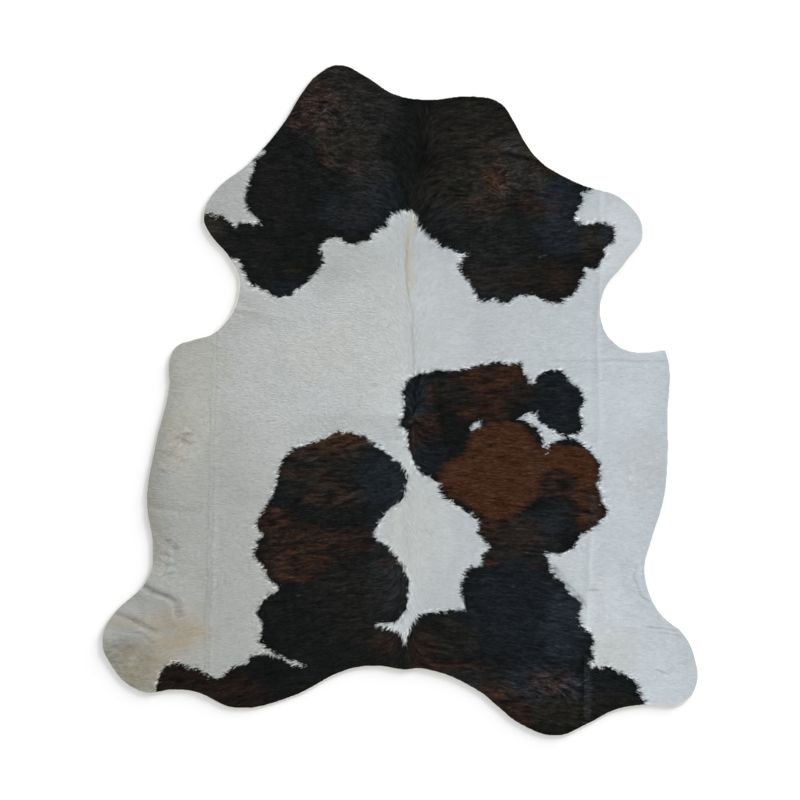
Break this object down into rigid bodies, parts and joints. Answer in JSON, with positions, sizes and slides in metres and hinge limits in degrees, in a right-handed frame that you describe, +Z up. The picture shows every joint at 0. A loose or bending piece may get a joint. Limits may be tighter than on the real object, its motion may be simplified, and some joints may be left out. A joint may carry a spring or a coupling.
{
  "type": "cowhide rug",
  "caption": "Flat rug of whole cow hide with the hair on, its wavy cut edge following the neck, legs and rump; it lies hair side up on a floor.",
  "frame": {"origin": "on the floor side, under the middle of the hide's bounding box", "axes": "+Z up, out of the hair side; +Y along the spine towards the neck; +X to the right as seen from above with the neck away from you"},
  "size_m": [1.9078, 2.148, 0.0055],
  "materials": {
    "hair_on_hide": "short hair lying flat on tanned skin: pale grey-white with large black and brown patches",
    "flesh_side": "undyed suede underside and cut edge"
  },
  "bodies": {
    "root": {"hide": "hair_on_hide"}
  },
  "joints": []
}
